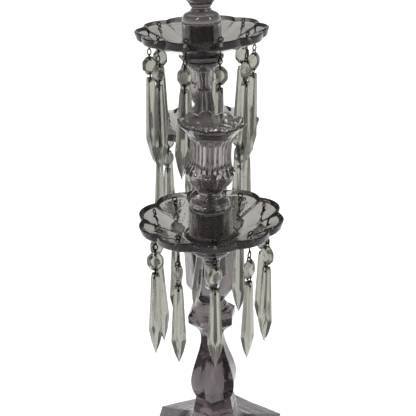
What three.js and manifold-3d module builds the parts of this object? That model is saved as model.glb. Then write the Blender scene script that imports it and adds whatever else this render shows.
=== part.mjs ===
// Three light glass candelabra with hanging prisms, in millimetres, +Z up.
// The origin is the middle of the foot's underside, and the two arms lie along X.
// Every light is built about its own axis, with z = 0 at the rim of its drip pan.
import * as THREE from 'three';
import { mergeVertices } from 'three/addons/utils/BufferGeometryUtils.js';
import Module from 'manifold-3d';

const wasm = await Module();
wasm.setup();

// Driving dimensions
const FOOT_CORNER = 85;
const FOOT_EDGE = 8;
const BASE_TURN = -10;
const ARM_REACH = 140;
const ARM_RIM = 350;
const TOP_RIM = 488.4;
const ARM_THICKNESS = 15;
const PAN_RADIUS = 66.5;
const PAN_NOTCH = 60.5;
const PAN_LOBES = 10;
const PAN_TURN = { right: 2, left: 18, top: 18 };
const PRISM_CIRCLE = 52.5;
const DRILL_RADIUS = 2;
const PEG_RADIUS = 10;
const CUP_RIM = 30.2;
const CUP_NOTCH = 26.8;
const CUP_FLUTES = 20;
const CUP_TURN = -13;
const RIM_TURN = 7;
const CUP_NECK = 21.2;
const CUP_LEAN = { right: 3.2, left: 0, top: 0 };
const CANDLE_RADIUS = 11;
const CANDLE_FLOOR = 40;
const POST_FLUTES = 12;
const POST_NECK = 7.6;
const SOCKET_TOP = 258;
const HUB_TOP = 300;
const GAP = 0.3;

// Prism drops
const PIVOT = -7;
const BEAD_CENTRE = -28.2;
const BEAD_HALF_HEIGHT = 9.9;
const BEAD_HALF_WIDTH = 8.1;
const BEAD_THICKNESS = 6.6;
const WIRE_RADIUS = 0.6;
const DROP_TOP = -40.2;
const SHORT_DROP = { length: 78.8, width: 13.8, depth: 9.2 };
const LONG_DROP = { length: 92.5, width: 15.6, depth: 10 };

// How each prism hangs, in degrees: its turn about the vertical, its lean towards -Y,
// and the turn of its bead against its spear.
// A fourth number is how much longer its spear is than the others of its light.
// The sixth one of the right light leans past the side of the arm, which passes where it would hang.
const HANG = {
  right: [
    [0, 1.4, 34],
    [24, 2.2, 24],
    [-26, 2.2, -22],
    [14, 2, 20],
    [-20, 2, 40],
    [90, 8.2, 0],
    [28, 2, -30],
    [20, -0.8, 16, 12],
    [-22, 3, 20, 5.5],
    [2, 2.1, 76],
  ],
  left: [
    [-10, -2.5, 20],
    [10, 2, -24],
    [-24, 2, 30],
    [12, 1.6, 18],
    [-8, 2.2, -30],
    [16, 2, 24],
    [-14, 1.6, 36],
    [20, 2.4, -18],
    [-6, 2, 28],
    [8, 3, -20],
  ],
  top: [
    [38, 2.5, -34],
    [18, 3.2, 26],
    [12, 4, 20],
    [-14, 2.6, 28],
    [24, 2, -12],
    [-10, 2, 30],
    [14, 1.4, -28],
    [-18, 0.6, 30],
    [14, 2, 24],
    [2, 4, -20],
  ],
};

const radians = THREE.MathUtils.degToRad;

const purpleGlass = new THREE.MeshStandardMaterial({ color: 0x6f6069, roughness: 0.06 });
const paleGlass = new THREE.MeshStandardMaterial({ color: 0x9c9492, roughness: 0.05 });
const prismGlass = new THREE.MeshStandardMaterial({ color: 0xa6a695, roughness: 0.04 });
const agedBrass = new THREE.MeshStandardMaterial({ color: 0x4a3828, roughness: 0.5, metalness: 0.8 });

const candelabra = new THREE.Group();

// Closed surface through rings of points that have the same count.
// The rings run upwards, and each runs anticlockwise seen from above.
// A wrapped surface joins its last ring to its first, and any other is capped at both ends.
function skin(rings, wrapped = false) {
  const count = rings[0].length;
  const points = rings.flat();
  const faces = [];
  const bands = wrapped ? rings.length : rings.length - 1;
  for (let band = 0; band < bands; band += 1) {
    const low = band * count;
    const high = ((band + 1) % rings.length) * count;
    for (let step = 0; step < count; step += 1) {
      const next = (step + 1) % count;
      faces.push(low + step, low + next, high + next);
      faces.push(low + step, high + next, high + step);
    }
  }
  if (!wrapped) {
    addCap(points, faces, rings[0], 0, false);
    addCap(points, faces, rings.at(-1), (rings.length - 1) * count, true);
  }
  const geometry = new THREE.BufferGeometry().setFromPoints(points);
  geometry.setIndex(faces);
  return geometry;
}

function addCap(points, faces, ring, first, facesUp) {
  const centre = ring.reduce((sum, point) => sum.add(point), new THREE.Vector3()).divideScalar(ring.length);
  const middle = points.push(centre) - 1;
  ring.forEach((_, step) => {
    const here = first + step;
    const next = first + ((step + 1) % ring.length);
    faces.push(...(facesUp ? [middle, here, next] : [middle, next, here]));
  });
}

// A ring whose radius and height may both follow the angle.
function ring(count, radius, height, turn = 0) {
  return Array.from({ length: count }, (_, step) => {
    const angle = (step / count) * 2 * Math.PI;
    const r = typeof radius === 'function' ? radius(angle) : radius;
    const z = typeof height === 'function' ? height(angle) : height;
    const place = angle + radians(turn);
    return new THREE.Vector3(r * Math.cos(place), r * Math.sin(place), z);
  });
}

function solidOf(geometry) {
  const bare = geometry.clone();
  bare.deleteAttribute('normal');
  bare.deleteAttribute('uv');
  const merged = mergeVertices(bare, 1e-3);
  const index = merged.index.array;
  const kept = [];
  for (let first = 0; first < index.length; first += 3) {
    const [a, b, c] = index.slice(first, first + 3);
    if (a !== b && b !== c && c !== a) {
      kept.push(a, b, c);
    }
  }
  const vertProperties = new Float32Array(merged.attributes.position.array);
  return new wasm.Manifold(new wasm.Mesh({ numProp: 3, vertProperties, triVerts: new Uint32Array(kept) }));
}

function geometryOf(solid) {
  const mesh = solid.getMesh();
  const geometry = new THREE.BufferGeometry();
  geometry.setAttribute('position', new THREE.BufferAttribute(new Float32Array(mesh.vertProperties), 3));
  geometry.setIndex(new THREE.BufferAttribute(new Uint32Array(mesh.triVerts), 1));
  geometry.computeVertexNormals();
  return geometry;
}

function joined(...solids) {
  return solids.reduce((sum, solid) => sum.add(solid));
}

// A turned solid from its [radius, height] points, which run upwards outside and end on the axis.
function turned(profile, sides) {
  const points = profile.map(([radius, height]) => new THREE.Vector2(radius, height));
  return solidOf(new THREE.LatheGeometry(points, sides).rotateX(Math.PI / 2));
}

// A turned tube or cup whose outline closes on itself.
function turnedShell(profile, sides) {
  return turned([...profile, profile[0]], sides);
}

function sixSided(profile) {
  return solidOf(skin(profile.map(([corner, height]) => ring(6, corner, height, BASE_TURN))));
}

function place(group, name, solid, material) {
  const mesh = new THREE.Mesh(geometryOf(solid), material);
  mesh.name = name;
  group.add(mesh);
  return mesh;
}

// Radius of a scalloped edge made of round lobes that meet at notches.
function scallop(angle, tip, notch, lobes) {
  const half = Math.PI / lobes;
  const fromTip = ((((angle + half) % (2 * half)) + 2 * half) % (2 * half)) - half;
  const centre = (tip ** 2 - notch ** 2) / (2 * (tip - notch * Math.cos(half)));
  const swing = centre * Math.sin(fromTip);
  return centre * Math.cos(fromTip) + Math.sqrt((tip - centre) ** 2 - swing ** 2);
}

// How near an angle is to the middle of its lobe, from 0 at a notch to 1.
function lobeShare(angle, lobes) {
  return (1 + Math.cos(angle * lobes)) / 2;
}

// Foot, plinth, baluster and knop are six sided, and the neck under the socket is round.
function baseGlass() {
  const foot = sixSided([
    [FOOT_CORNER, 0],
    [FOOT_CORNER, FOOT_EDGE],
    [60, 14.6],
    [42, 20],
    [33, 27],
    [28.4, 36],
    [26.8, 44],
    [26.6, 49],
    [24.4, 57],
    [23, 65],
  ]);
  const baluster = sixSided([
    [23, 64],
    [24.8, 68],
    [27.4, 74.5],
    [28.6, 83],
    [28, 92.3],
    [23.6, 107.2],
    [18.4, 120.6],
    [14.8, 133],
    [13.8, 142],
    [15.3, 150.3],
    [20.5, 155.8],
    [28.2, 162.8],
    [28.3, 172],
    [21, 178.4],
  ]);
  const neck = turned([
    [0, 174],
    [19.4, 174],
    [19.4, 178.4],
    [17.4, 179.4],
    [17, 181.2],
    [13.6, 183.6],
    [13.4, 188],
    [0, 188],
  ], 24);
  const socket = sixSided([
    [14.4, 184],
    [28.2, 197.4],
    [28.6, 240],
    [29.2, 252],
    [28.8, SOCKET_TOP],
  ]);
  const bore = turned([
    [0, 222],
    [13.5, 222],
    [13.5, SOCKET_TOP + 1],
    [0, SOCKET_TOP + 1],
  ], 16);
  const hollowUnderFoot = turned([
    [0, -1],
    [52, -1],
    [50, 1],
    [34, 6],
    [16, 9],
    [0, 10],
  ], 24);
  return joined(foot, baluster, neck, socket).subtract(bore).subtract(hollowUnderFoot);
}

function baseFerrule() {
  return turnedShell([
    [11.9, 223],
    [13.2, 223],
    [13.2, SOCKET_TOP + GAP],
    [16, SOCKET_TOP + GAP],
    [16, SOCKET_TOP + 1.8],
    [11.9, SOCKET_TOP + 1.8],
  ], 16);
}

// The flanged bowl that ends an arm or the post, with the peg that holds a light.
function capital(stemRadius) {
  return turned([
    [0, -46],
    [stemRadius, -46],
    [stemRadius + 0.6, -41.4],
    [12.2, -39.5],
    [17, -35.8],
    [20, -31.4],
    [19.4, -29.8],
    [21.4, -28.8],
    [21.4, -25.6],
    [PEG_RADIUS, -25.6],
    [PEG_RADIUS, 3.4],
    [0, 3.4],
  ], 16);
}

// One half of the bridge: a panelled glass rod that dips from the hub and climbs to its light.
function armRod(side) {
  const centreLine = new THREE.CatmullRomCurve3([
    [2, 274],
    [26, 271],
    [50, 262],
    [70, 255],
    [86, 254],
    [103, 261],
    [120, 277],
    [133, 295],
    [139, 306],
    [ARM_REACH, 314],
  ].map(([along, height]) => new THREE.Vector3(side * along, 0, height)));
  const panels = 8;
  const corners = ring(panels, ARM_THICKNESS / 2, 0, 180 / panels);
  const section = corners.map(({ x, y }) => new THREE.Vector2(x, y));
  return solidOf(new THREE.ExtrudeGeometry(new THREE.Shape(section), {
    steps: 14,
    extrudePath: centreLine,
    bevelEnabled: false,
  }));
}

function armBridge() {
  const hub = turned([
    [0, 227],
    [11.5, 227],
    [11.5, SOCKET_TOP + 2.1],
    [21, SOCKET_TOP + 2.1],
    [21, 264],
    [18.6, 266.5],
    [19, 280],
    [15.6, 287.5],
    [20, 295],
    [20, HUB_TOP],
    [0, HUB_TOP],
  ], 16);
  const postSeat = turned([
    [0, 276],
    [9.6, 276],
    [9.6, HUB_TOP + 1],
    [0, HUB_TOP + 1],
  ], 16);
  const ends = [1, -1].map((side) => capital(ARM_THICKNESS / 2).translate([side * ARM_REACH, 0, ARM_RIM]));
  return joined(hub, armRod(1), armRod(-1), ...ends).subtract(postSeat);
}

function postFerrule() {
  return turnedShell([
    [8.3, 277],
    [9.3, 277],
    [9.3, HUB_TOP + GAP],
    [12, HUB_TOP + GAP],
    [12, HUB_TOP + 1.5],
    [8.3, HUB_TOP + 1.5],
  ], 16);
}

// The post's trumpet is cut with hollow flutes that meet in sharp ridges.
function centrePost() {
  const trumpet = [
    [17, HUB_TOP + 5],
    [16.6, 318],
    [14.9, 356],
    [13.2, 385],
    [11.5, 404],
    [9.4, 416],
    [7.6, 425],
    [6.7, 431],
    [6.6, 438],
    [POST_NECK, 444.6],
  ];
  const fluteDepth = 0.13;
  const fluteTop = 428;
  const fluted = trumpet.map(([radius, height]) => {
    const depth = height < fluteTop ? fluteDepth : 0;
    return ring(2 * POST_FLUTES, (angle) => {
      return radius * (1 - depth * lobeShare(angle, POST_FLUTES));
    }, height);
  });
  const foot = turned([
    [0, 279],
    [8, 279],
    [8, HUB_TOP + 1.8],
    [19, HUB_TOP + 1.8],
    [19, HUB_TOP + 4.2],
    [17.4, HUB_TOP + 6.5],
    [0, HUB_TOP + 6.5],
  ], 24);
  const head = capital(POST_NECK).translate([0, 0, TOP_RIM]);
  return joined(foot, solidOf(skin(fluted)), head);
}

// Metal cap on a light's peg, which the candle cup's bell stands over.
function pegCap() {
  return turnedShell([
    [PEG_RADIUS + GAP, -17.8],
    [12, -17.8],
    [12, 5],
    [0, 5],
    [0, 3.8],
    [PEG_RADIUS + GAP, 3.8],
  ], 16);
}

// Thick scalloped pan with one dished petal and one drilled hole to each lobe.
// Each outline point is [radius, height, share of the scallop, share of the petal's dish].
function dripPan() {
  const petalDish = 0.7;
  const outline = [
    [PEG_RADIUS + 0.6, -25.3, 0, 0],
    [21.4, -25.3, 0, 0],
    [23.6, -23.4, 0, 0],
    [63.4, -7, 0.3, 0],
    [65, -5.8, 0.3, 0],
    [PAN_RADIUS, -0.7, 1, 0],
    [65.2, 0, 1, 0],
    [61, -2, 0.95, 1],
    [23.5, -18.1, 0, 0],
    [PEG_RADIUS + 0.6, -18.1, 0, 0],
  ];
  const pointsPerLobe = 4;
  const rings = outline.map(([radius, height, edge, dish]) => {
    const reach = (angle) => scallop(angle, PAN_RADIUS, PAN_NOTCH, PAN_LOBES) / PAN_RADIUS;
    return ring(
      PAN_LOBES * pointsPerLobe,
      (angle) => radius * (1 + edge * (reach(angle) - 1)),
      (angle) => height - dish * petalDish * lobeShare(angle, PAN_LOBES),
    );
  });
  const pan = solidOf(skin(rings, true));
  const drill = turned([
    [0, -18],
    [DRILL_RADIUS, -18],
    [DRILL_RADIUS, 0],
    [0, 0],
  ], 6);
  return Array.from({ length: PAN_LOBES }, (_, lobe) => {
    const angle = (lobe / PAN_LOBES) * 2 * Math.PI;
    return drill.translate([PRISM_CIRCLE * Math.cos(angle), PRISM_CIRCLE * Math.sin(angle), 0]);
  }).reduce((rest, hole) => rest.subtract(hole), pan);
}

// Thin bell skirt, open at its foot for the peg cap, and the neck that closes it.
function cupBell() {
  return turned([
    [0, 6.8],
    [16.4, 6.8],
    [17.4, -17.8],
    [20.2, -17.8],
    [19.2, 9.4],
    [17.2, 14.4],
    [10.4, 17.8],
    [9.2, CUP_NECK],
    [0, CUP_NECK],
  ], 24);
}

// Fluted tulip that stands on the bell's neck.
// Each outline point is [radius, height, depth of the flutes as a share of their full depth].
function cupTulip(lean) {
  const fluteDepth = 0.06;
  const outline = [
    [8.6, CUP_NECK - 1, 0],
    [9.2, CUP_NECK, 0],
    [12.4, 25.4, 0],
    [19.8, 33.4, 0],
    [22.6, 41.9, 0.3],
    [19.2, 48, 1],
    [18.2, 56, 1],
    [19.2, 75.4, 0.6],
  ];
  return solidOf(skin(outline.map(([radius, height, share]) => {
    const level = ring(2 * CUP_FLUTES, (angle) => {
      return radius * (1 - share * fluteDepth * lobeShare(angle, CUP_FLUTES));
    }, height, CUP_TURN);
    return height > CUP_NECK ? level.map((point) => leaned(point, lean)) : level;
  })));
}

// A point of the cup moved with the part above the neck, which leans towards +Y.
function leaned(point, lean) {
  const pivot = new THREE.Vector3(0, 0, CUP_NECK);
  return point.clone().sub(pivot).applyAxisAngle(new THREE.Vector3(1, 0, 0), -radians(lean)).add(pivot);
}

// Flared rim of round petals that curl up from a plain ring.
function cupFlare() {
  const petalDrop = 2.4;
  const outline = [
    [14, 74.6, 0],
    [20.6, 74.6, 0],
    [21, 77.4, 0.1],
    [CUP_RIM, 87, 1],
    [CUP_RIM - 1.1, 88.2, 1],
    [20.6, 80.8, 0.2],
    [14, 77.6, 0],
  ];
  const reach = (angle) => scallop(angle, CUP_RIM, CUP_NOTCH, PAN_LOBES) / CUP_RIM;
  return solidOf(skin(outline.map(([radius, height, share]) => ring(
    4 * PAN_LOBES,
    (angle) => radius * (1 + share * (reach(angle) - 1)),
    (angle) => height - petalDrop * share * (1 - lobeShare(angle, PAN_LOBES)),
    RIM_TURN,
  )), true));
}

// The cup stands straight up to its neck, and the tulip above may lean.
function candleCup(lean) {
  const candleHole = turned([
    [0, CANDLE_FLOOR],
    [CANDLE_RADIUS, CANDLE_FLOOR],
    [CANDLE_RADIUS, 68],
    [15.4, 76],
    [15.4, 80],
    [0, 80],
  ], 16);
  const tilted = (solid) => {
    const lowered = solid.translate([0, 0, -CUP_NECK]);
    return lowered.rotate([-lean, 0, 0]).translate([0, 0, CUP_NECK]);
  };
  return joined(cupBell(), cupTulip(lean), tilted(cupFlare())).subtract(tilted(candleHole));
}

// Wire bent sharply at each of its points.
function wire(points) {
  const sides = 3;
  const corners = points.map(([x, y, z]) => new THREE.Vector3(x, y, z));
  let normal = new THREE.Vector3(1, 1, 1);
  return solidOf(skin(corners.map((corner, index) => {
    const before = corners[Math.max(index - 1, 0)];
    const after = corners[Math.min(index + 1, corners.length - 1)];
    const along = after.clone().sub(before).normalize();
    normal = normal.clone().projectOnPlane(along).normalize();
    const across = new THREE.Vector3().crossVectors(along, normal);
    return ring(sides, WIRE_RADIUS, 0).map(({ x, y }) => {
      return corner.clone().addScaledVector(normal, x).addScaledVector(across, y);
    });
  })));
}

// Eight sided bead, taller than wide, with a flat table on each face and a sharp edge between them.
function bead() {
  const table = 5.6;
  const slimness = BEAD_HALF_WIDTH / BEAD_HALF_HEIGHT;
  const rings = [
    [table, -BEAD_THICKNESS / 2],
    [BEAD_HALF_HEIGHT, 0],
    [table, BEAD_THICKNESS / 2],
  ].map(([radius, height]) => ring(8, radius, height, 22.5));
  return solidOf(skin(rings).scale(1, slimness, 1).rotateY(Math.PI / 2)).translate([0, 0, BEAD_CENTRE]);
}

// Six sided spear with a narrow front and back panel.
// Two tiers of facets run from its widest place to its tip.
// Each station is [share of the length, share of the width, share of the depth].
function spear({ length, width, depth }) {
  const stations = [
    [1, 0, 0],
    [0.86, 0.6, 0.62],
    [0.71, 1, 1],
    [0.05, 0.62, 0.64],
    [0, 0.48, 0.46],
  ];
  const panel = 0.15;
  return solidOf(skin(stations.map(([down, wide, thick]) => {
    const y = (width * wide) / 2;
    const x = (depth * thick) / 2;
    return [
      [0, y],
      [-x, y * 2 * panel],
      [-x, -y * 2 * panel],
      [0, -y],
      [x, -y * 2 * panel],
      [x, y * 2 * panel],
    ].map(([px, py]) => new THREE.Vector3(px, py, DROP_TOP - down * length));
  })));
}

// A prism as it hangs, with z = 0 at the drilled hole it swings from and its width along Y.
// The hook's bent head stands on top of the pan, square to the pan's radius.
function prism(drop, headTurn, beadTurn) {
  const head = (reach, height) => [-reach * Math.sin(headTurn), reach * Math.cos(headTurn), height];
  const hook = wire([
    head(3.3, 1.8),
    head(2.9, 4.4),
    head(0.5, 4.4),
    [0, 0, -13.6],
    [2.4, 0, -17],
    [1.2, 0, -21.4],
  ]);
  const pin = wire([
    [0, 0, -35],
    [0, 0, -43.6],
  ]);
  return joined(hook, bead().rotate([0, 0, beadTurn]), pin, spear(drop));
}

function light(name, centre, drop) {
  const group = new THREE.Group();
  group.position.copy(centre);
  candelabra.add(group);
  place(group, `peg_cap_${name}`, pegCap(), agedBrass);
  place(group, `drip_pan_${name}`, dripPan(), paleGlass).rotation.z = radians(PAN_TURN[name]);
  place(group, `candle_cup_${name}`, candleCup(CUP_LEAN[name]), paleGlass);
  HANG[name].forEach(([turn, lean, beadTurn, longer = 0], lobe) => {
    const angle = radians(PAN_TURN[name] + (lobe / PAN_LOBES) * 360);
    const own = { ...drop, length: drop.length + longer };
    const drawn = prism(own, angle - radians(turn), beadTurn);
    const mesh = place(group, `prism_${name}_${lobe}`, drawn, prismGlass);
    mesh.position.set(PRISM_CIRCLE * Math.cos(angle), PRISM_CIRCLE * Math.sin(angle), PIVOT);
    mesh.rotation.set(-radians(lean), 0, radians(turn));
  });
}

place(candelabra, 'base_glass', baseGlass(), purpleGlass);
place(candelabra, 'base_ferrule', baseFerrule(), agedBrass);
place(candelabra, 'arm_bridge', armBridge(), purpleGlass);
place(candelabra, 'post_ferrule', postFerrule(), agedBrass);
place(candelabra, 'centre_post', centrePost(), purpleGlass);
light('right', new THREE.Vector3(ARM_REACH, 0, ARM_RIM), SHORT_DROP);
light('left', new THREE.Vector3(-ARM_REACH, 0, ARM_RIM), SHORT_DROP);
light('top', new THREE.Vector3(0, 0, TOP_RIM), LONG_DROP);

export default candelabra;
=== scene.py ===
"""Three light glass candelabra with hanging prisms, seen end on along its two arms.

Outlines are in millimetres, and every mesh is written in metres.
"""

import math
import random

import bmesh
import bpy
import numpy as np
from mathutils import Matrix, Vector

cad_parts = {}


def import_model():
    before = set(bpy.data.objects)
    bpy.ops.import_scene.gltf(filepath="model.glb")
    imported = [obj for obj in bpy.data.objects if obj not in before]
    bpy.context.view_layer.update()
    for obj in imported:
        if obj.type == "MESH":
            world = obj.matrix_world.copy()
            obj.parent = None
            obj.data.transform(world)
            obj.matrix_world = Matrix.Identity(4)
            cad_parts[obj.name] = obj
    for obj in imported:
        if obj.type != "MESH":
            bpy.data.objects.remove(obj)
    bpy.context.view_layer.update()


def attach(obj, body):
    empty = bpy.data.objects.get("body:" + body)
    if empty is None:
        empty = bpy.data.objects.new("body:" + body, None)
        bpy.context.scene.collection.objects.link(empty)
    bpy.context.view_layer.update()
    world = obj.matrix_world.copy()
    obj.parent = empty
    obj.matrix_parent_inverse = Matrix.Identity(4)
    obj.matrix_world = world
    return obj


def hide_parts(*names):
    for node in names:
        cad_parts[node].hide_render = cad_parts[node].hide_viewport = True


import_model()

MM = 0.001
TAU = 2 * math.pi

# Turns of the base and of its socket, in degrees, and how far in the middles of its sides are drawn, as a share
# of their distance from the axis.
BASE_TURN = -10.0
SOCKET_TURN = 20.0
FACET_HOLLOW = 0.02

# Base, post and arms, in millimetres. The depth of the post's flutes is a share of its radius.
FOOT_CORNER = 85.0
SOCKET_TOP = 258.0
HUB_TOP = 300.0
POST_FLUTES = 12
POST_FLUTE_DEPTH = 0.18
POST_NECK = 7.6
ARM_REACH = 140.0
ARM_RIM = 350.0
TOP_RIM = 488.4
ARM_THICKNESS = 15.0
PEG_RADIUS = 10.0
GAP = 0.3

# Drip pans. Their fit keeps them just inside the solids, and the scallop of the lower edge is a share of the rim's.
PAN_RADIUS = 66.5
PAN_NOTCH = 60.5
PAN_LOBES = 10
PAN_FIT = 0.998
PAN_LOWER_SCALLOP = 0.6
PAN_DISH = 0.15
PRISM_CIRCLE = 52.5
DRILL_RADIUS = 2.0

# Candle cups. Turns are in degrees, the flutes' depth is a share of the radius, and all else is in millimetres.
CUP_RIM = 30.2
CUP_NOTCH = 26.8
CUP_FLUTES = 20
CUP_FLUTE_DEPTH = 0.14
CUP_TURN = -13.0
RIM_TURN = 7.0
CUP_NECK = 21.2
PETAL_RISE = 2.4
THUMB_DEPTH = 1.2
CANDLE_RADIUS = 11.0
CANDLE_FLOOR = 40.0

# Prisms. Heights are counted from the point each one swings about, which is PIVOT from the rim's level.
PIVOT = -7.0
BEAD_CENTRE = -28.2
BEAD_HALF_HEIGHT = 9.9
BEAD_HALF_WIDTH = 8.1
BEAD_THICKNESS = 6.6
BEAD_HOLES = (BEAD_CENTRE + 7.0, BEAD_CENTRE - 7.0)
DROP_TOP = -40.2
DROP_HOLE = DROP_TOP - 3.4
BORE_RADIUS = 0.78
WIRE_RADIUS = 0.62
PIN_HEAD_RADIUS = 1.15
EYE_CENTRE = -14.4
EYE_FOOT = -16.8

# Length, width and depth of the spears of the side lights and of the top light.
SHORT_DROP = (78.8, 13.8, 9.2)
LONG_DROP = (92.5, 15.6, 10.0)

# Reach of a rounding that spans the whole of both sides next to a point of an outline.
SMOOTH = 99

# Place along the arms, rim level, turn of the pan and lean of the cup in degrees, and size of the spears of each
# light.
LIGHTS = {
    "right": (ARM_REACH, ARM_RIM, 2.0, 3.2, SHORT_DROP),
    "left": (-ARM_REACH, ARM_RIM, 18.0, 0.0, SHORT_DROP),
    "top": (0.0, TOP_RIM, 18.0, 0.0, LONG_DROP),
}

# How each prism hangs, in degrees: its turn about the vertical, how far its tip leans towards -Y, and the turn of
# its bead against its spear. The last number is how much longer its spear is than the others of its light, in
# millimetres.
HANG = {
    "right": [
        (0, 1.4, 34, 0),
        (24, 2.2, 24, 0),
        (-26, 2.2, -22, 0),
        (14, 2, 20, 0),
        (-20, 2, 40, 0),
        (90, 8.2, 0, 0),
        (28, 2, -30, 0),
        (20, -0.8, 16, 12),
        (-22, 3, 20, 5.5),
        (2, 2.1, 76, 0),
    ],
    "left": [
        (-10, -2.5, 20, 0),
        (10, 2, -24, 0),
        (-24, 2, 30, 0),
        (12, 1.6, 18, 0),
        (-8, 2.2, -30, 0),
        (16, 2, 24, 0),
        (-14, 1.6, 36, 0),
        (20, 2.4, -18, 0),
        (-6, 2, 28, 0),
        (8, 3, -20, 0),
    ],
    "top": [
        (38, 2.5, -34, 0),
        (18, 3.2, 26, 0),
        (12, 4, 20, 0),
        (-14, 2.6, 28, 0),
        (24, 2, -12, 0),
        (-10, 2, 30, 0),
        (14, 1.4, -28, 0),
        (-18, 0.6, 30, 0),
        (14, 2, 24, 0),
        (2, 4, -20, 0),
    ],
}

# Share of the floor's white that is its own glow.
FLOOR_GLOW = 0.66

# Frame of the photograph, in pixels, and the camera that was fitted to it: its focal length in pixels, its pitch,
# roll and turn in radians, and its distance from the axis and its height in metres.
PHOTO_SIDE = 416
FOCAL, PITCH, ROLL, TURN = 897.3, 0.4043, -0.0355, 0.014
CAMERA_REACH = 0.8769
CAMERA_HEIGHT = 0.672


# Outlines

def rounded(points, steps=4, closed=False):
    """Outline with rounded corners. A point's last number is how far along its two sides the rounding reaches."""
    places = [np.array(p[:-1], float) for p in points]
    count = len(places)
    out = []
    for i, (here, point) in enumerate(zip(places, points)):
        reach = point[-1]
        if reach == 0 or (not closed and i in (0, count - 1)):
            out.append(here)
            continue
        before, after = places[i - 1], places[(i + 1) % count]
        cut = [min(reach / max(np.linalg.norm((p - here)[:2]), 1e-6), 0.5) for p in (before, after)]
        start, end = here + (before - here) * cut[0], here + (after - here) * cut[1]
        for k in range(steps + 1):
            t = k / steps
            out.append((1 - t) ** 2 * start + 2 * t * (1 - t) * here + t * t * end)
    return np.array(out)


def finer(outline, longest):
    """Outline with points added, so that no side of it is longer than that."""
    out = [outline[0]]
    for a, b in zip(outline, outline[1:]):
        parts = max(1, math.ceil(np.linalg.norm((b - a)[:2]) / longest))
        out.extend(a + (b - a) * k / parts for k in range(1, parts + 1))
    return np.array(out)


def scallop(angle, tip, notch, lobes):
    """Radius of an edge made of round lobes that meet at notches."""
    half = math.pi / lobes
    from_tip = (angle + half) % (2 * half) - half
    centre = (tip**2 - notch**2) / (2 * (tip - notch * math.cos(half)))
    swing = centre * np.sin(from_tip)
    return centre * np.cos(from_tip) + np.sqrt((tip - centre) ** 2 - swing**2)


def crisp_share(angle, lobes):
    """1 in the middle of a lobe and 0 at a notch, where the lobes meet in a sharp crease."""
    half = math.pi / lobes
    from_tip = (angle + half) % (2 * half) - half
    return 1 - (from_tip / half) ** 2


# Meshes

def mesh_of(name, verts, faces):
    """Mesh in metres from points in millimetres."""
    me = bpy.data.meshes.new(name)
    me.from_pydata([tuple(v) for v in np.asarray(verts, float) * MM], [], faces)
    bm = bmesh.new()
    bm.from_mesh(me)
    bmesh.ops.remove_doubles(bm, verts=bm.verts, dist=2e-6)
    bmesh.ops.dissolve_degenerate(bm, edges=bm.edges, dist=1e-6)
    bmesh.ops.recalc_face_normals(bm, faces=bm.faces)
    bm.to_mesh(me)
    bm.free()
    return me


def loft(name, rings, wrapped=False):
    """Skin through rings of points with the same count. A wrapped one joins its last ring to its first."""
    rings = np.asarray(rings, float)
    bands, count = rings.shape[:2]
    faces = []
    for band in range(bands if wrapped else bands - 1):
        low, high = band * count, ((band + 1) % bands) * count
        for step in range(count):
            after = (step + 1) % count
            faces.append((low + step, low + after, high + after, high + step))
    verts = rings.reshape(-1, 3).tolist()
    if not wrapped:
        for band in (0, bands - 1):
            if np.ptp(rings[band][:, 0]) > 1e-6:
                middle = len(verts)
                verts.append(rings[band].mean(0).tolist())
                first = band * count
                faces.extend((middle, first + s, first + (s + 1) % count) for s in range(count))
    return mesh_of(name, verts, faces)


def turned(name, outline, count=96):
    """Turned shape through (radius, height) points."""
    angle = np.arange(count) / count * TAU
    rings = [np.stack([r * np.cos(angle), r * np.sin(angle), np.full(count, z)], 1) for r, z in outline]
    wrapped = outline[0][0] > 0 and outline[-1][0] > 0
    return loft(name, rings, wrapped)


def tube(points, radius, sides, tip=0.6):
    """Points and faces of a round wire along a line. Tip is the share of the radius that its two ends have."""
    points = [Vector(p) for p in points]
    normal = Vector((0.3, 1, 0.2))
    verts, faces = [], []
    last = len(points) - 1
    for i, point in enumerate(points):
        along = (points[min(i + 1, last)] - points[max(i - 1, 0)]).normalized()
        normal = (normal - along * normal.dot(along)).normalized()
        across = along.cross(normal)
        shrink = tip if i in (0, last) else 1.0
        for s in range(sides):
            a = s / sides * TAU
            verts.append(point + (normal * math.cos(a) + across * math.sin(a)) * radius * shrink)
    for i in range(last):
        for s in range(sides):
            after = (s + 1) % sides
            faces.append((i * sides + s, i * sides + after, (i + 1) * sides + after, (i + 1) * sides + s))
    faces.append(tuple(reversed(range(sides))))
    faces.append(tuple(range(last * sides, (last + 1) * sides)))
    return [tuple(v) for v in verts], faces


def through(points, steps):
    """Smooth curve through the points, with that many steps from each to the next."""
    points = [Vector(p) for p in points]
    last = len(points) - 1
    out = []
    for i in range(last):
        a, b, c, d = (points[min(max(i + k, 0), last)] for k in (-1, 0, 1, 2))
        for k in range(steps):
            t = k / steps
            square = (2 * a - 5 * b + 4 * c - d) * t * t
            cube = (3 * b - a - 3 * c + d) * t**3
            out.append(0.5 * (2 * b + (c - a) * t + square + cube))
    out.append(points[-1])
    return out


def gathered(name, parts):
    """One mesh from several (points, faces)."""
    verts, faces = [], []
    for more, sides in parts:
        faces.extend(tuple(i + len(verts) for i in face) for face in sides)
        verts.extend(more)
    return mesh_of(name, verts, faces)


def cut_solid(planes, size):
    """Block cut down by planes (point, outward normal). Size is its centre and its half size."""
    (cx, cy, cz), (sx, sy, sz) = size
    bm = bmesh.new()
    bmesh.ops.create_cube(bm, size=2)
    for v in bm.verts:
        v.co = Vector((cx + v.co.x * sx, cy + v.co.y * sy, cz + v.co.z * sz))
    for point, normal in planes:
        geom = bm.verts[:] + bm.edges[:] + bm.faces[:]
        cut = bmesh.ops.bisect_plane(bm, geom=geom, dist=1e-5, plane_co=point, plane_no=normal, clear_outer=True)
        edges = [g for g in cut["geom_cut"] if isinstance(g, bmesh.types.BMEdge)]
        if edges:
            bmesh.ops.contextual_create(bm, geom=edges)
    return bm


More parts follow.
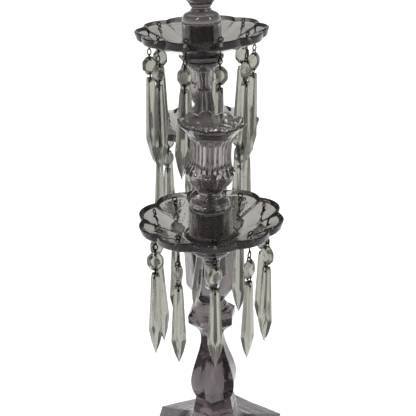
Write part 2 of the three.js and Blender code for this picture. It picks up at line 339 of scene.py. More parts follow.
def combined(name, base, tool, operation):
    """Mesh of base with tool joined or cut away. Both are meshes, and neither is kept."""
    objects = []
    for me in (base, tool):
        o = bpy.data.objects.new("work", me)
        bpy.context.scene.collection.objects.link(o)
        objects.append(o)
    modifier = objects[0].modifiers.new("b", "BOOLEAN")
    modifier.object = objects[1]
    modifier.operation = operation
    modifier.solver = "EXACT"
    bpy.context.view_layer.update()
    evaluated = objects[0].evaluated_get(bpy.context.evaluated_depsgraph_get())
    out = bpy.data.meshes.new_from_object(evaluated)
    out.name = name
    for o in objects:
        bpy.data.objects.remove(o)
    return out


def piece(name, me, material, body, nodes, matrix=None, sharp=30):
    """Shown object that rides on a body and stands for solids. Its mesh is moved, so its box stays tight.
    Edges sharper than that many degrees stay crisp."""
    me = me.copy()
    me.transform(matrix or Matrix.Identity(4))
    me.materials.clear()
    me.materials.append(material)
    me.shade_smooth()
    me.set_sharp_from_angle(angle=math.radians(sharp))
    o = bpy.data.objects.new(name, me)
    bpy.context.scene.collection.objects.link(o)
    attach(o, body)
    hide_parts(*nodes)


# Materials

def new_material(name):
    """Empty node material, its nodes and its output."""
    mat = bpy.data.materials.new(name)
    mat.use_nodes = True
    nt = mat.node_tree
    nt.nodes.clear()
    out = nt.nodes.new("ShaderNodeOutputMaterial")
    return mat, nt, out


def noise(nt, scale, detail=2.0, rough=0.5, stretch=(1, 1, 1)):
    """Noise in the object's own coordinates. Scale is in features per metre."""
    where = nt.nodes.new("ShaderNodeTexCoord")
    mapping = nt.nodes.new("ShaderNodeMapping")
    mapping.inputs["Scale"].default_value = stretch
    tex = nt.nodes.new("ShaderNodeTexNoise")
    tex.inputs["Scale"].default_value = scale
    tex.inputs["Detail"].default_value = detail
    tex.inputs["Roughness"].default_value = rough
    nt.links.new(where.outputs["Object"], mapping.inputs["Vector"])
    nt.links.new(mapping.outputs["Vector"], tex.inputs["Vector"])
    return tex.outputs["Fac"]


def mapped(nt, value, low, high, to_low, to_high):
    """Value moved from the range low to high into the range to_low to to_high."""
    n = nt.nodes.new("ShaderNodeMapRange")
    n.inputs["From Min"].default_value = low
    n.inputs["From Max"].default_value = high
    n.inputs["To Min"].default_value = to_low
    n.inputs["To Max"].default_value = to_high
    nt.links.new(value, n.inputs["Value"])
    return n.outputs["Result"]


def height_of(nt):
    """Height in metres in the object's own coordinates."""
    where = nt.nodes.new("ShaderNodeTexCoord")
    split = nt.nodes.new("ShaderNodeSeparateXYZ")
    nt.links.new(where.outputs["Object"], split.inputs["Vector"])
    return split.outputs["Z"]


def summed(nt, values):
    """Sum of the values, kept between 0 and 1."""
    total = values[0]
    for value in values[1:]:
        n = nt.nodes.new("ShaderNodeMath")
        n.operation = "ADD"
        n.use_clamp = True
        nt.links.new(total, n.inputs[0])
        nt.links.new(value, n.inputs[1])
        total = n.outputs[0]
    return total


def bumped(nt, height, distance, normal=None):
    """Normal of a surface that rises by the distance, in metres, where the height goes from 0 to 1."""
    n = nt.nodes.new("ShaderNodeBump")
    n.inputs["Distance"].default_value = distance
    n.inputs["Strength"].default_value = 1.0
    nt.links.new(height, n.inputs["Height"])
    if normal is not None:
        nt.links.new(normal, n.inputs["Normal"])
    return n.outputs["Normal"]


def colour_ramp(nt, value, stops):
    """Colour for the value, from stops of (value, colour)."""
    n = nt.nodes.new("ShaderNodeValToRGB")
    ramp = n.color_ramp
    ramp.elements[0].position, ramp.elements[0].color = stops[0][0], (*stops[0][1], 1)
    ramp.elements[1].position, ramp.elements[1].color = stops[-1][0], (*stops[-1][1], 1)
    for place, colour in stops[1:-1]:
        ramp.elements.new(place).color = (*colour, 1)
    nt.links.new(value, n.inputs["Fac"])
    return n.outputs["Color"]


def glass(name, tint, streak, absorbed, density, rough, wave, shadow, sheen, painted_foot_shade=0.0):
    """Pressed or cut glass, with slow waves, upright ripples and a fine skin in its surface.

    Its colour goes from tint to streak in faint upright streaks, and deepens with thickness by absorbed and density.
    Rough is its least and greatest roughness, wave the depth and width of its waves in millimetres, shadow the light
    that its shadow lets through, and sheen the colour of what it reflects. The last argument paints shade into the
    foot: it draws the colour towards streak there, darker towards the bottom.
    """
    mat, nt, out = new_material(name)
    p = nt.nodes.new("ShaderNodeBsdfPrincipled")
    streaks = noise(nt, 40, 3, 0.6, (1, 1, 0.25))
    # Painted shade: below 30 mm the colour is drawn fully towards streak, fading out by 45 mm.
    if painted_foot_shade:
        foot_top, fade_top = 0.03, 0.045
        streaks = summed(nt, (streaks, mapped(nt, height_of(nt), foot_top, fade_top, -painted_foot_shade, 0.0)))
    nt.links.new(colour_ramp(nt, streaks, [(0.3, streak), (0.65, tint)]), p.inputs["Base Color"])
    p.inputs["Transmission Weight"].default_value = 0.96
    p.inputs["IOR"].default_value = 1.52
    p.inputs["Specular Tint"].default_value = (*sheen, 1)
    nt.links.new(mapped(nt, noise(nt, 90, 3), 0.3, 0.75, *rough), p.inputs["Roughness"])
    depth, width = wave
    slow = bumped(nt, noise(nt, 1000 / width, 1.0), depth * MM)
    ripple = bumped(nt, noise(nt, 3200 / width, 1.0, 0.5, (1, 1, 0.3)), 0.6 * depth * MM, slow)
    skin = bumped(nt, noise(nt, 700, 2.0), 0.00002, ripple)
    nt.links.new(skin, p.inputs["Normal"])
    clear = nt.nodes.new("ShaderNodeBsdfTransparent")
    clear.inputs["Color"].default_value = (*shadow, 1)
    path = nt.nodes.new("ShaderNodeLightPath")
    mix = nt.nodes.new("ShaderNodeMixShader")
    nt.links.new(path.outputs["Is Shadow Ray"], mix.inputs["Fac"])
    nt.links.new(p.outputs["BSDF"], mix.inputs[1])
    nt.links.new(clear.outputs["BSDF"], mix.inputs[2])
    nt.links.new(mix.outputs["Shader"], out.inputs["Surface"])
    volume = nt.nodes.new("ShaderNodeVolumeAbsorption")
    volume.inputs["Color"].default_value = (*absorbed, 1)
    volume.inputs["Density"].default_value = density
    nt.links.new(volume.outputs["Volume"], out.inputs["Volume"])
    return mat


def metal(name, dark, light, rough, stretch):
    """Aged metal, darker in patches, with fine marks. Rough is its least and greatest roughness."""
    mat, nt, out = new_material(name)
    p = nt.nodes.new("ShaderNodeBsdfPrincipled")
    p.inputs["Metallic"].default_value = 1.0
    patches = noise(nt, 160, 4, 0.6, stretch)
    nt.links.new(colour_ramp(nt, patches, [(0.35, dark), (0.7, light)]), p.inputs["Base Color"])
    nt.links.new(mapped(nt, noise(nt, 420, 3), 0.3, 0.7, *rough), p.inputs["Roughness"])
    nt.links.new(bumped(nt, noise(nt, 900, 3, 0.6, stretch), 0.00008), p.inputs["Normal"])
    nt.links.new(p.outputs["BSDF"], out.inputs["Surface"])
    return mat


# The base's glass carries painted shade in its foot, set by its last argument.
AMETHYST = glass(
    "amethyst_glass", tint=(0.325, 0.311, 0.307), streak=(0.078, 0.074, 0.074), absorbed=(0.41, 0.30, 0.345),
    density=17.0, rough=(0.0, 0.015), wave=(0.5, 12), shadow=(0.95, 0.94, 0.95), sheen=(0.28, 0.23, 0.25),
    painted_foot_shade=0.35,
)
ARMS = glass(
    "arm_glass", tint=(0.36, 0.346, 0.342), streak=(0.2, 0.19, 0.19), absorbed=(0.41, 0.30, 0.345),
    density=22.0, rough=(0.0, 0.015), wave=(0.3, 12), shadow=(0.95, 0.95, 0.95), sheen=(0.35, 0.3, 0.32),
)
PAN = glass(
    "pan_glass", tint=(0.57, 0.575, 0.54), streak=(0.50, 0.505, 0.475), absorbed=(0.42, 0.35, 0.355),
    density=110.0, rough=(0.0, 0.015), wave=(0.2, 12), shadow=(0.95, 0.95, 0.95), sheen=(0.45, 0.4, 0.42),
)
CUP = glass(
    "cup_glass", tint=(0.52, 0.505, 0.49), streak=(0.41, 0.397, 0.383), absorbed=(0.42, 0.34, 0.37),
    density=24.0, rough=(0.0, 0.015), wave=(0.2, 11), shadow=(0.95, 0.95, 0.95), sheen=(0.6, 0.55, 0.57),
)
PRISM = glass(
    "prism_glass", tint=(0.43, 0.425, 0.39), streak=(0.37, 0.365, 0.33), absorbed=(0.50, 0.51, 0.42),
    density=50.0, rough=(0.04, 0.12), wave=(0.02, 9), shadow=(0.96, 0.96, 0.95), sheen=(1, 1, 0.93),
)
BRASS = metal(
    "aged_brass", dark=(0.002, 0.0014, 0.0008), light=(0.04, 0.025, 0.012), rough=(0.35, 0.55), stretch=(1, 1, 0.08),
)
IRON = metal(
    "iron_wire", dark=(0.006, 0.005, 0.004), light=(0.03, 0.022, 0.016), rough=(0.4, 0.65), stretch=(1, 1, 1),
)


# Base

def hexagon(corner, turn, soft):
    """Points round a hexagon with slightly hollow sides, whose corners are rounded with radius soft."""
    slant = math.cos(math.pi / 6)
    flat = corner * slant
    soft = min(soft, 0.6 * flat)
    centre = (flat - soft) / slant
    half_corner = [k / 3 * (math.pi / 6) for k in range(4)]
    out = []
    for side in range(6):
        for tip, sign in ((side * TAU / 6, 1), ((side + 1) * TAU / 6, -1)):
            x, y = centre * math.cos(tip), centre * math.sin(tip)
            arc = [(x + soft * math.cos(tip + sign * a), y + soft * math.sin(tip + sign * a)) for a in half_corner]
            if sign < 0:
                left, right = np.array(out[-1]), np.array(arc[-1])
                out.extend(tuple(left + (right - left) * k / 4) for k in (1, 2, 3))
                arc = arc[:0:-1]
            out.extend(arc)
    out = np.array(out)
    share = crisp_share(np.arctan2(out[:, 1], out[:, 0]), 6)
    out *= 1 - FACET_HOLLOW * (1 - share)[:, None]
    c, s = math.cos(math.radians(turn)), math.sin(math.radians(turn))
    return out @ np.array([[c, s], [-s, c]])


def base_glass():
    """Outline points are (corner radius, height, roundness of the section, softness of its corners, rounding)."""
    foot_to_neck = [
        (0, 10, 1, 1, 0),
        (16, 9, 1, 1, SMOOTH),
        (34, 6, 1, 1, SMOOTH),
        (50, 1, 1, 1, 1),
        (52, 0, 1, 1, 0.5),
        (FOOT_CORNER - 0.1, 0, 0, 0.8, 0.5),
        (FOOT_CORNER, 8, 0, 0.8, 1.4),
        (60, 14.6, 0, 1, SMOOTH),
        (42, 20, 0, 1, SMOOTH),
        (33, 27, 0, 1, SMOOTH),
        (28.4, 36, 0, 0.8, SMOOTH),
        (26.8, 44, 0, 0.7, 2),
        (26.6, 49, 0, 0.7, 1.2),
        (24.4, 57, 0, 0.7, 2),
        (23, 64.5, 0, 0.7, 0.8),
        (24.8, 68, 0, 0.7, SMOOTH),
        (27.4, 74.5, 0, 0.7, SMOOTH),
        (28.6, 83, 0, 0.7, SMOOTH),
        (28, 92.3, 0, 0.7, SMOOTH),
        (23.6, 107.2, 0, 0.7, SMOOTH),
        (18.4, 120.6, 0, 0.7, SMOOTH),
        (14.8, 133, 0, 0.7, SMOOTH),
        (13.8, 142, 0, 0.7, SMOOTH),
        (15.3, 150.3, 0, 0.7, SMOOTH),
        (20.5, 155.8, 0, 0.7, SMOOTH),
        (28.2, 162.8, 0, 0.7, 0.8),
        (28.3, 172, 0, 0.7, 0.8),
        (23, 176.2, 0.5, 1, 0.6),
        (21.2, 176.3, 1, 1, 0.3),
        (20.8, 177.8, 1, 1, 0.4),
        (19.6, 178.2, 1, 1, 0.3),
        (17.2, 181, 1, 1, 0.3),
        (17, 182, 1, 1, 0.3),
        (15.4, 182.8, 1, 1, 0.3),
        (15.2, 183.8, 1, 1, 0.3),
        (13.6, 184.6, 1, 1, 0.4),
    ]
    socket = [
        (13.4, 187.2, 1, 1, 0.4),
        (14.6, 187.8, 1, 1, 0.3),
        (14.8, 189, 1, 1, 0.3),
        (16.4, 190.4, 0.8, 1, 0.5),
        (27, 203.4, 0, 1, 0.8),
        (27.6, 206, 0, 1, 1),
        (28, 240, 0, 1, 4),
        (28.8, 252, 0, 1, 1.5),
        (28.4, SOCKET_TOP, 0, 1, 0.7),
        (13.5, SOCKET_TOP, 1, 2, 0.4),
        (13.5, 222, 1, 2, 1),
        (0, 222, 1, 2, 0),
    ]
    outline = [(*p[:4], BASE_TURN, p[4]) for p in foot_to_neck] + [(*p[:4], SOCKET_TURN, p[4]) for p in socket]
    rings = []
    for corner, height, roundness, soft, turn in finer(rounded(outline), 6.0):
        flat = hexagon(max(corner, 1e-3), turn, soft)
        reach = np.linalg.norm(flat, axis=1, keepdims=True)
        place = flat * (1 - roundness) + flat / reach * corner * roundness
        rings.append(np.column_stack([place, np.full(len(place), height)]))
    return loft("base_glass_visual", rings)


# Arms and post

def capital_outline(stem):
    """Upward outline of the flanged bowl and its peg, from the stem's radius, about the pan's rim level."""
    return [
        (stem, -46, 1.0),
        (stem + 0.6, -41.4, 1.0),
        (12.2, -39.5, 2.0),
        (17, -35.8, 2.5),
        (20, -31.4, 0.8),
        (19.4, -29.8, 0.6),
        (21.4, -28.8, 0.4),
        (21.4, -25.6, 0.5),
        (PEG_RADIUS, -25.6, 0.4),
        (PEG_RADIUS, 3.4, 0.5),
        (0, 3.4, 0),
    ]


def arm_rod(side):
    """Arm of eight flat sides with narrow rounded edges, that dips and climbs again."""
    reach_and_height = [
        (2, 274), (26, 271), (50, 262), (70, 255), (86, 254),
        (103, 261), (120, 277), (133, 295), (139, 306), (140, 316),
    ]
    line = through([(side * x, 0, z) for x, z in reach_and_height], 6)
    half_edge, edge_cut = 0.09, 0.985
    section = []
    for corner in range(8):
        tip = (corner + 0.5) * TAU / 8
        for k in (-1, 0, 1):
            a = tip + k * half_edge
            section.append((math.cos(a), math.sin(a), edge_cut if k else 1.0))
    size = ARM_THICKNESS / 2
    across = Vector((0, 1, 0))
    rings = []
    last = len(line) - 1
    for i, point in enumerate(line):
        along = (line[min(i + 1, last)] - line[max(i - 1, 0)]).normalized()
        up = along.cross(across)
        rings.append([tuple(point + (across * x + up * y) * size * k) for x, y, k in section])
    return loft("rod", rings)


def arm_bridge():
    """Hub with its peg, and the two arms with their capitals, as one piece of glass."""
    hub = turned("hub", rounded([
        (0, 227, 0),
        (11.5, 227, 1),
        (11.5, SOCKET_TOP + 2.1, 0.3),
        (21, SOCKET_TOP + 2.1, 0.6),
        (21, 264, 0.8),
        (18.6, 266.5, 1.5),
        (19, 280, 4),
        (15.6, 287.5, 4),
        (20, 295, 1.5),
        (20, HUB_TOP, 0.8),
        (9.6, HUB_TOP, 0.4),
        (9.6, 276, 0.5),
        (0, 276, 0),
    ]), 72)
    whole = hub
    for side in (1, -1):
        outline = rounded([(0, -46, 0)] + capital_outline(ARM_THICKNESS / 2))
        end = turned("end", outline + np.array([0, ARM_RIM]), 72)
        end.transform(Matrix.Translation((side * ARM_REACH * MM, 0, 0)))
        whole = combined("arm_bridge_visual", whole, combined("rod", arm_rod(side), end, "UNION"), "UNION")
    return whole


def centre_post():
    """Outline points are (radius, height, share of the flutes' depth, rounding)."""
    head = [(r, z + TOP_RIM, 0, k) for r, z, k in capital_outline(POST_NECK)][1:]
    outline = [
        (0, 279, 0, 0),
        (8, 279, 0, 1),
        (8, HUB_TOP + 1.8, 0, 0.3),
        (19, HUB_TOP + 1.8, 0, 0.5),
        (19, HUB_TOP + 4.2, 0, 0.6),
        (17.6, HUB_TOP + 6.5, 0, 1),
        (17.2, HUB_TOP + 9, 1, 1),
        (16.6, 318, 1, SMOOTH),
        (14.9, 356, 1, SMOOTH),
        (13.2, 385, 1, SMOOTH),
        (11.5, 404, 1, SMOOTH),
        (9.4, 416, 1, SMOOTH),
        (8, 424.6, 1, 1),
        (7.6, 427, 0, 0.6),
        (6.7, 430, 0, 3),
        (6.6, 438, 0, 4),
        (POST_NECK + 0.2, 444.6, 0, 1),
    ] + head
    count = 16 * POST_FLUTES
    angle = np.arange(count) / count * TAU
    flutes = crisp_share(angle, POST_FLUTES)
    rings = []
    for radius, height, share in finer(rounded(outline), 5.0):
        r = radius * (1 - POST_FLUTE_DEPTH * share * flutes)
        rings.append(np.stack([r * np.cos(angle), r * np.sin(angle), np.full(count, height)], 1))
    return loft("centre_post_visual", rings)


# Lights

def drip_pan():
    """Outline points are (radius, height, share of the scallop, share of the petal's dish, rounding)."""
    outline = [
        (PEG_RADIUS + 0.6, -25.3, 0, 0, 0.5),
        (21.4, -25.3, 0, 0, 0.5),
        (23.6, -23.4, 0, 0, 1.0),
        (63.4, -8.6, PAN_LOWER_SCALLOP, 0, 0.6),
        (64.6, -7.4, PAN_LOWER_SCALLOP, 0, 0.5),
        (PAN_RADIUS, -0.7, 1, 0, 0.4),
        (65.4, 0, 1, 0, 0.4),
        (62, -1.6, 0.95, 0.6, 1.0),
        (56, -4.3, 0.4, 1, 2),
        (42, -10.2, 0.1, 0.7, 4),
        (23.5, -18.1, 0, 0, 1.5),
        (PEG_RADIUS + 0.6, -18.1, 0, 0, 0.5),
    ]
    count = 24 * PAN_LOBES
    angle = np.arange(count) / count * TAU
    reach = scallop(angle, PAN_RADIUS, PAN_NOTCH, PAN_LOBES) / PAN_RADIUS
    dish = crisp_share(angle, PAN_LOBES)
    shaped = rounded(outline, 3, closed=True)
    shaped = finer(np.vstack([shaped, shaped[:1]]), 5.0)[:-1]
    rings = []
    for radius, height, edge, dished in shaped:
        r = radius * (1 + edge * (reach - 1)) * PAN_FIT
        z = height - dished * PAN_DISH * dish
        rings.append(np.stack([r * np.cos(angle), r * np.sin(angle), z], 1))
    pan = loft("pan", rings, wrapped=True)
    drills = []
    for lobe in range(PAN_LOBES):
        a = lobe / PAN_LOBES * TAU
        foot = (PRISM_CIRCLE * math.cos(a), PRISM_CIRCLE * math.sin(a))
        drills.append(tube([(*foot, z) for z in (-18, 0)], DRILL_RADIUS, 20, tip=1.0))
    return combined("drip_pan_visual", pan, gathered("drills", drills), "DIFFERENCE")


def candle_cup(lean):
    """The cup stands straight up to its neck, and the tulip above leans towards +Y by that angle in radians.

    Outline points are (radius, height, share of the flutes, share of the petals, share of their thumbprints,
    rounding).
    """
    outline = [
        (0, 6.8, 0, 0, 0, 0),
        (16.4, 6.8, 0, 0, 0, 2.0),
        (17.4, -17.8, 0, 0, 0, 0.6),
        (20.2, -17.8, 0, 0, 0, 1.0),
        (19.2, 9.4, 0, 0, 0, 3),
        (17.2, 14.4, 0, 0, 0, 2),
        (10.6, 17.4, 0, 0, 0, 1.0),
        (10.4, 18.8, 0, 0, 0, 0.8),
        (9.2, 19.8, 0, 0, 0, 1),
        (9.4, 21.4, 0, 0, 0, 1),
        (11.2, 22.6, 0, 0, 0, 0.8),
        (11.6, 24.6, 0, 0, 0, 0.8),
        (19.8, 33.4, 0, 0, 0, 5),
        (22.6, 41.9, 0.2, 0, 0, 0.9),
        (19.4, 47.0, 1, 0, 0, 2),
        (18.2, 56, 1, 0, 0, 5),
        (18.6, 70, 1, 0, 0, 4),
        (19.4, 74.6, 0.4, 0, 0, 0.8),
        (20.6, 75.4, 0, 0, 0, 0.6),
        (21, 77.4, 0, 0.1, 0, 0.8),
        (CUP_RIM, 86.6, 0, 1, 0, 0.5),
        (CUP_RIM - 0.3, 88, 0, 1, 0, 0.3),
        (CUP_RIM - 1.5, 88.2, 0, 1, 0, 0.3),
        (26.2, 85.6, 0, 0.8, 1, 2),
        (22, 82.2, 0, 0.4, 0.6, 2),
        (19.6, 80.6, 0, 0.1, 0, 0.8),
        (15.4, 77.0, 0, 0, 0, 2),
        (CANDLE_RADIUS, 68, 0, 0, 0, 2),
        (CANDLE_RADIUS, CANDLE_FLOOR, 0, 0, 0, 1),
        (0, CANDLE_FLOOR, 0, 0, 0, 0),
    ]
    count = 240
    angle = np.arange(count) / count * TAU
    flutes = crisp_share(angle - math.radians(CUP_TURN), CUP_FLUTES)
    lobes = angle - math.radians(RIM_TURN)
    reach = scallop(lobes, CUP_RIM, CUP_NOTCH, PAN_LOBES) / CUP_RIM
    petals = crisp_share(lobes, PAN_LOBES)
    rings = []
    for radius, height, fluted, petalled, thumbed in finer(rounded(outline), 4.0):
        r = radius * (1 - CUP_FLUTE_DEPTH * fluted * flutes) * (1 + petalled * (reach - 1))
        z = height - PETAL_RISE * petalled * (1 - petals) - THUMB_DEPTH * thumbed * petals
        y, above = r * np.sin(angle), z - CUP_NECK
        if height > CUP_NECK:
            y, above = y * math.cos(lean) + above * math.sin(lean), above * math.cos(lean) - y * math.sin(lean)
        rings.append(np.stack([r * np.cos(angle), y, above + CUP_NECK], 1))
    return loft("candle_cup_visual", rings)


def peg_cap():
    """Metal cap with a rolled foot and a beaded top, over the peg."""
    inner = PEG_RADIUS + GAP
    return turned("peg_cap_visual", rounded([
        (0, 3.8, 0),
        (inner, 3.8, 0.4),
        (inner, -17.8, 0.3),
        (12, -17.8, 0.3),
        (12, -16.4, 0.3),
        (11.7, -15.9, 0.3),
        (11.7, 2.8, 0.3),
        (12, 3.4, 0.3),
        (12, 5, 0.6),
        (0, 5, 0),
    ]), 64)


def ferrule(name, inner, outer, flange, low, high, thick):
    """Metal tube with a flange on top. All but the last three sizes are radii."""
    return turned(name, rounded([
        (inner, low, 0.3),
        (outer, low, 0.3),
        (outer, high, 0.2),
        (flange, high, 0.4),
        (flange, high + thick, 0.5),
        (inner, high + thick, 0.3),
    ], closed=True), 64)


# Prisms

def plane_through(a, b, c, inside):
    """Plane through three points, as a point and a normal that leads away from the inside."""
    a, b, c, inside = (Vector(v) for v in (a, b, c, inside))
    normal = (b - a).cross(c - a).normalized()
    return a, normal if normal.dot(inside - a) < 0 else -normal


def cut_bead():
    """Eight sided bead, taller than wide, with a table, eight broad facets and eight narrow ones on each face."""
    table, girdle, corner_cut = BEAD_THICKNESS / 2, 0.5, 0.7
    broad_rise, narrow_rise, narrow_tilt = 5.4, 6.4, 1.05
    flat = BEAD_HALF_HEIGHT * math.cos(math.pi / 8)
    planes = []
    for k in range(8):
        a = k * TAU / 8
        out = Vector((0, math.cos(a), math.sin(a)))
        planes.append((out * flat, out))
        b = a + TAU / 16
        corner = Vector((0, math.cos(b), math.sin(b)))
        for side in (1, -1):
            face = Vector((side, 0, 0))
            edge = Vector((side * girdle, 0, 0))
            broad = face * (flat - broad_rise) + out * (table - girdle)
            planes.append((out * flat + edge, broad.normalized()))
            narrow = face * (BEAD_HALF_HEIGHT - narrow_rise) + corner * (table - girdle) * narrow_tilt
            planes.append((corner * (BEAD_HALF_HEIGHT - corner_cut) + edge, narrow.normalized()))
    bm = cut_solid(planes, ((0, 0, 0), (table, 12, 12)))
    bmesh.ops.scale(bm, verts=bm.verts, vec=(1, BEAD_HALF_WIDTH / BEAD_HALF_HEIGHT, 1))
    bmesh.ops.translate(bm, verts=bm.verts, vec=(0, 0, BEAD_CENTRE))
    return bm


def cut_spear(length, width, depth):
    """Long faceted drop with a narrow panel down its front and back and two tiers of facets at its tip.

    Levels are shares of its length from the top, and the other numbers are shares of its half width or half depth.
    """
    wide, deep = width / 2, depth / 2
    top, widest, tier = 0.05, 0.71, 0.86
    strip, shoulder, waist = 0.30, 0.62, 0.6
    top_depth, head_depth, tier_depth = 0.64, 0.46, 0.68

    def at(down, across, out):
        return Vector((out, across, DROP_TOP - down * length))

    middle = at(0.5, 0, 0)
    planes = [(at(0, 0, 0), Vector((0, 0, 1)))]

    def cut(a, b, c):
        planes.append(plane_through(a, b, c, middle))

    for face in (1, -1):
        front = at(widest, 0, deep * face)
        high = top_depth * deep * face
        cut(at(top, 1, high), at(top, -1, high), front)
        head = head_depth * deep * face
        cut(at(0, 2, head), at(0, -2, head), at(top, 0, high))
        for hand in (1, -1):
            side = wide * hand
            belly, hip = at(widest, side, 0.25 * face), at(tier, waist * side, 0.2 * face)
            cut(at(top, shoulder * side, 0.2 * face), belly, at(widest, strip * side, deep * face))
            cut(belly, hip, at(widest + 0.04, 0, deep * face))
            cut(hip, at(1, 0, 0.1 * face), at(tier, 0, tier_depth * deep * face))
    for hand in (1, -1):
        edge = [(0, 0.48), (top, shoulder), (widest, 1), (tier, waist), (1, 0)]
        for (a, a_wide), (b, b_wide) in zip(edge, edge[1:]):
            near, far = a_wide * wide * hand, b_wide * wide * hand
            cut(at(a, near, -1), at(a, near, 1), at(b, far, 0))
    return cut_solid(planes, ((0, 0, DROP_TOP - length / 2), (deep, wide, length / 2)))


def drilled(name, bm, heights):
    """Mesh of a cut stone with softened edges and its wire holes."""
    bmesh.ops.bevel(bm, geom=bm.edges[:], offset=0.12, segments=1, affect="EDGES", profile=0.5)
    bmesh.ops.scale(bm, vec=(MM, MM, MM), verts=bm.verts)
    bmesh.ops.recalc_face_normals(bm, faces=bm.faces)
    me = bpy.data.meshes.new(name)
    bm.to_mesh(me)
    bm.free()
    holes = [tube([(x, 0, z) for x in (-8, 8)], BORE_RADIUS, 12, tip=1.0) for z in heights]
    return combined(name, me, gathered("holes", holes), "DIFFERENCE")


def oval(height, across, high, axis, steps, start=0.0):
    """Points of an oval loop about a height, in the plane of the given level axis and Z."""
    out = []
    for k in range(steps + 1):
        a = start + k / steps * TAU
        side = across * math.sin(a)
        out.append((axis[0] * side, axis[1] * side, height + high * math.cos(a)))
    return out


def wires(head, bead_turn, seed):
    """Hook with a curled head that stands on the pan and an eye below it, and the links to bead and spear.

    Head is the level direction that the hook curls in, and bead_turn is in radians.
    """
    rng = random.Random(seed)
    hx, hy = head
    sway = rng.uniform(-0.4, 0.4) * 0.06
    curl = [
        (-1.9, 1.9, 0.5), (-2.3, 3.2, 0.4), (-0.4, 4.2, 0.2), (1.9, 5.2, 0), (2.6, 6.9, -0.3), (1.2, 8.3, -0.6),
        (-1.1, 8.0, -0.5), (-2.1, 6.3, 0), (-0.9, 4.6, 0.5), (0.9, 3.5, 0.6), (1.3, 1.9, 0.2), (0.4, 0.2, -0.5),
        (-0.5, -1.4, -0.2), (-0.2, -3.2, 0.4), (0.3, -4.8, 0), (0, -7, -0.2), (0, -9.5, 0),
    ]
    hook = [(hx * a - hy * b + sway * z, hy * a + hx * b, z) for a, z, b in curl]
    bead_axis, spear_axis = (math.cos(bead_turn), math.sin(bead_turn)), (1, 0)
    eye = oval(EYE_CENTRE, 1.9, 3.0, (-bead_axis[1], bead_axis[0]), 18)
    twist_radius, twist_top, twist_pitch = 0.75, -11.6, 0.32
    twist = [
        (twist_radius * math.cos(a), twist_radius * math.sin(a), twist_top + twist_pitch * a)
        for a in np.linspace(0, 2.2 * TAU, 26) / 4
    ]
    hook_line = through(hook, 5) + [Vector(p) for p in eye + twist]
    upper_hole, lower_hole = BEAD_HOLES
    ring = oval((EYE_FOOT + upper_hole) / 2, 2.0, (EYE_FOOT - upper_hole) / 2 + 0.3, bead_axis, 20)
    middle = (lower_hole + DROP_HOLE) / 2
    upper = oval((lower_hole + middle) / 2, 1.9, (lower_hole - middle) / 2, bead_axis, 16, 0.5 * TAU)
    lower = oval((DROP_HOLE + middle) / 2, 1.8, (middle - DROP_HOLE) / 2, spear_axis, 16)
    parts = [tube(line, WIRE_RADIUS, 7) for line in (hook_line, ring, upper + lower)]
    for height, axis, out in (
        (upper_hole, bead_axis, 2.0), (lower_hole, bead_axis, 2.0), (DROP_HOLE, spear_axis, 2.9),
    ):
        for side in (1, -1):
            reaches = [side * (out + k) for k in (-0.6, 0.2, 0.9)]
            parts.append(tube([(axis[0] * r, axis[1] * r, height) for r in reaches], PIN_HEAD_RADIUS, 10))
    return parts


def hang_prisms(name, bead, spears):
    """The ten prisms of one light. Spears are kept by size, so that each size is cut only once."""
    x, rim, pan_turn, _, drop = LIGHTS[name]
    for lobe, (turn, lean, bead_turn, longer) in enumerate(HANG[name]):
        node = f"prism_{name}_{lobe}"
        size = (drop[0] + longer, *drop[1:])
        if size not in spears:
            spears[size] = drilled("spear", cut_spear(*size), (DROP_HOLE,))
        turn, lean, bead_turn = (math.radians(v) for v in (turn, lean, bead_turn))
        angle = math.radians(pan_turn + 360 / PAN_LOBES * lobe)
        place = Vector((x + PRISM_CIRCLE * math.cos(angle), PRISM_CIRCLE * math.sin(angle), rim + PIVOT)) * MM
        hung = Matrix.Translation(place) @ Matrix.Rotation(-lean, 4, "X") @ Matrix.Rotation(turn, 4, "Z")
        bead_hung = hung @ Matrix.Rotation(bead_turn, 4, "Z")
        piece(f"{node}_spear", spears[size], PRISM, node, [node], hung, sharp=8)
        piece(f"{node}_bead", bead, PRISM, node, [node], bead_hung, sharp=8)
        head = (-math.sin(angle - turn), math.cos(angle - turn))
        wire = gathered(f"{node}_wire", wires(head, bead_turn, 10 * lobe + len(name)))
        piece(f"{node}_wires", wire, IRON, node, [node], hung, sharp=60)


# Stage

def world():
    """Grey sky, paler at the horizon and overhead, and darker in front, so that thick glass shows dark facets."""
    w = bpy.data.worlds.new("studio")
    bpy.context.scene.world = w
    w.use_nodes = True
    nt = w.node_tree
    nt.nodes.clear()
    where = nt.nodes.new("ShaderNodeTexCoord")
    split = nt.nodes.new("ShaderNodeSeparateXYZ")
    nt.links.new(where.outputs["Generated"], split.inputs["Vector"])
    greys = [(0.0, 0.7), (0.25, 0.2), (0.62, 0.12), (0.85, 0.5), (1.0, 0.9)]
    sky = colour_ramp(nt, split.outputs["Z"], [(height, (grey,) * 3) for height, grey in greys])
    background = nt.nodes.new("ShaderNodeBackground")
    nt.links.new(sky, background.inputs["Color"])
    behind, front = 1.5, 0.25
    nt.links.new(mapped(nt, split.outputs["X"], -0.5, 0.5, behind, front), background.inputs["Strength"])
    out = nt.nodes.new("ShaderNodeOutputWorld")
    nt.links.new(background.outputs["Background"], out.inputs["Surface"])


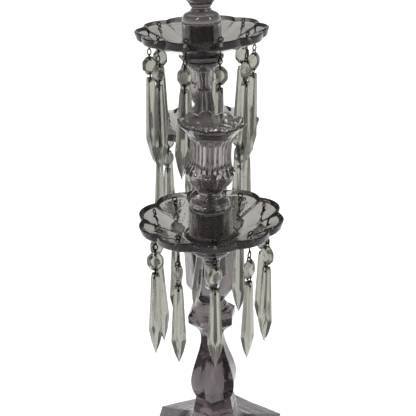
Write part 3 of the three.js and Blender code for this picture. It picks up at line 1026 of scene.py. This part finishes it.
def floor():
    """White floor that keeps a light shadow: part of its white is its own glow, seen by all but diffuse rays."""
    mat, nt, out = new_material("white_floor")
    diffuse = nt.nodes.new("ShaderNodeBsdfDiffuse")
    diffuse.inputs["Color"].default_value = (0.86, 0.86, 0.86, 1)
    path = nt.nodes.new("ShaderNodeLightPath")
    seen = summed(nt, [path.outputs[f"Is {kind} Ray"] for kind in ("Camera", "Glossy", "Transmission")])
    share = nt.nodes.new("ShaderNodeMath")
    share.operation = "MULTIPLY"
    share.inputs[1].default_value = FLOOR_GLOW
    nt.links.new(seen, share.inputs[0])
    glow = nt.nodes.new("ShaderNodeEmission")
    nt.links.new(share.outputs[0], glow.inputs["Strength"])
    both = nt.nodes.new("ShaderNodeAddShader")
    nt.links.new(diffuse.outputs[0], both.inputs[0])
    nt.links.new(glow.outputs[0], both.inputs[1])
    nt.links.new(both.outputs[0], out.inputs["Surface"])
    me = bpy.data.meshes.new("floor")
    half = 12
    me.from_pydata([(-half, -half, 0), (half, -half, 0), (half, half, 0), (-half, half, 0)], [], [(0, 1, 2, 3)])
    me.materials.append(mat)
    o = bpy.data.objects.new("floor", me)
    bpy.context.scene.collection.objects.link(o)


def lamp(name, kind, place, strength, size):
    """Lamp aimed at the middle of the candelabra. Size is its side in metres, or degrees across for a sun.

    Suns are left out of the reflections, where they would lie as a grey veil over the glass.
    """
    data = bpy.data.lights.new(name, kind)
    data.energy = strength
    if kind == "SUN":
        data.angle = math.radians(size)
    else:
        data.shape = "SQUARE"
        data.size = size
    o = bpy.data.objects.new(name, data)
    bpy.context.scene.collection.objects.link(o)
    o.location = place
    o.visible_glossy = kind != "SUN"
    aim = Vector((0, 0, 0.3)) - Vector(place)
    o.rotation_euler = aim.to_track_quat("-Z", "Y").to_euler()


def camera():
    """Camera at the photograph's place and angle."""
    data = bpy.data.cameras.new("camera")
    sensor = 36
    data.sensor_width = sensor
    data.lens = FOCAL / PHOTO_SIDE * sensor
    data.clip_start = 0.05
    o = bpy.data.objects.new("camera", data)
    bpy.context.scene.collection.objects.link(o)
    level = math.cos(PITCH)
    ahead = Vector((-level * math.cos(TURN), level * math.sin(TURN), -math.sin(PITCH)))
    right = ahead.cross(Vector((0, 0, 1))).normalized()
    up = right.cross(ahead)
    x = right * math.cos(ROLL) + up * math.sin(ROLL)
    y = -right * math.sin(ROLL) + up * math.cos(ROLL)
    place = Vector((CAMERA_REACH * math.cos(TURN), -CAMERA_REACH * math.sin(TURN), CAMERA_HEIGHT))
    o.matrix_world = Matrix.Translation(place) @ Matrix((x, y, -ahead)).transposed().to_4x4()
    bpy.context.scene.camera = o


# Whole

def build():
    """Every piece, on the body it moves with."""
    base_ferrule = ferrule("base_ferrule_visual", 11.9, 13.2, 16, 223, SOCKET_TOP + GAP, 1.5)
    post_ferrule = ferrule("post_ferrule_visual", 8.3, 9.3, 12, 277, HUB_TOP + GAP, 1.2)
    piece("base", base_glass(), AMETHYST, "stand", ["base_glass"])
    piece("base_ferrule_metal", base_ferrule, BRASS, "stand", ["base_ferrule"])
    piece("arms_glass", arm_bridge(), ARMS, "arms", ["arm_bridge"])
    piece("post_ferrule_metal", post_ferrule, BRASS, "arms", ["post_ferrule"])
    piece("post", centre_post(), AMETHYST, "arms", ["centre_post"])
    pan, cap = drip_pan(), peg_cap()
    bead, spears = drilled("bead", cut_bead(), BEAD_HOLES), {}
    for name, (x, rim, pan_turn, cup_lean, _) in LIGHTS.items():
        place = Matrix.Translation(Vector((x, 0, rim)) * MM)
        turned_pan = place @ Matrix.Rotation(math.radians(pan_turn), 4, "Z")
        cup = candle_cup(math.radians(cup_lean))
        piece(f"pan_{name}", pan, PAN, "arms", [f"drip_pan_{name}"], turned_pan)
        piece(f"cup_{name}", cup, CUP, f"cup_{name}", [f"candle_cup_{name}"], place)
        piece(f"cap_{name}", cap, BRASS, "arms", [f"peg_cap_{name}"], place)
        hang_prisms(name, bead, spears)


def light_scene():
    """Sky, floor, lamps and camera."""
    scene = bpy.context.scene
    scene.view_settings.view_transform = "Standard"
    scene.cycles.max_bounces = 24
    scene.cycles.transmission_bounces = 24
    scene.cycles.transparent_max_bounces = 32
    scene.cycles.caustics_refractive = False
    scene.cycles.caustics_reflective = False
    world()
    floor()
    lamp("day", "SUN", (1.0, -0.8, 2.0), 0.9, 30)
    lamp("day_back", "SUN", (-0.8, 0.9, 1.9), 0.5, 40)
    lamp("window", "AREA", (1.3, -0.7, 1.5), 4, 0.22)
    lamp("window_right", "AREA", (0.7, 1.2, 1.2), 3, 0.2)
    camera()


build()
light_scene()
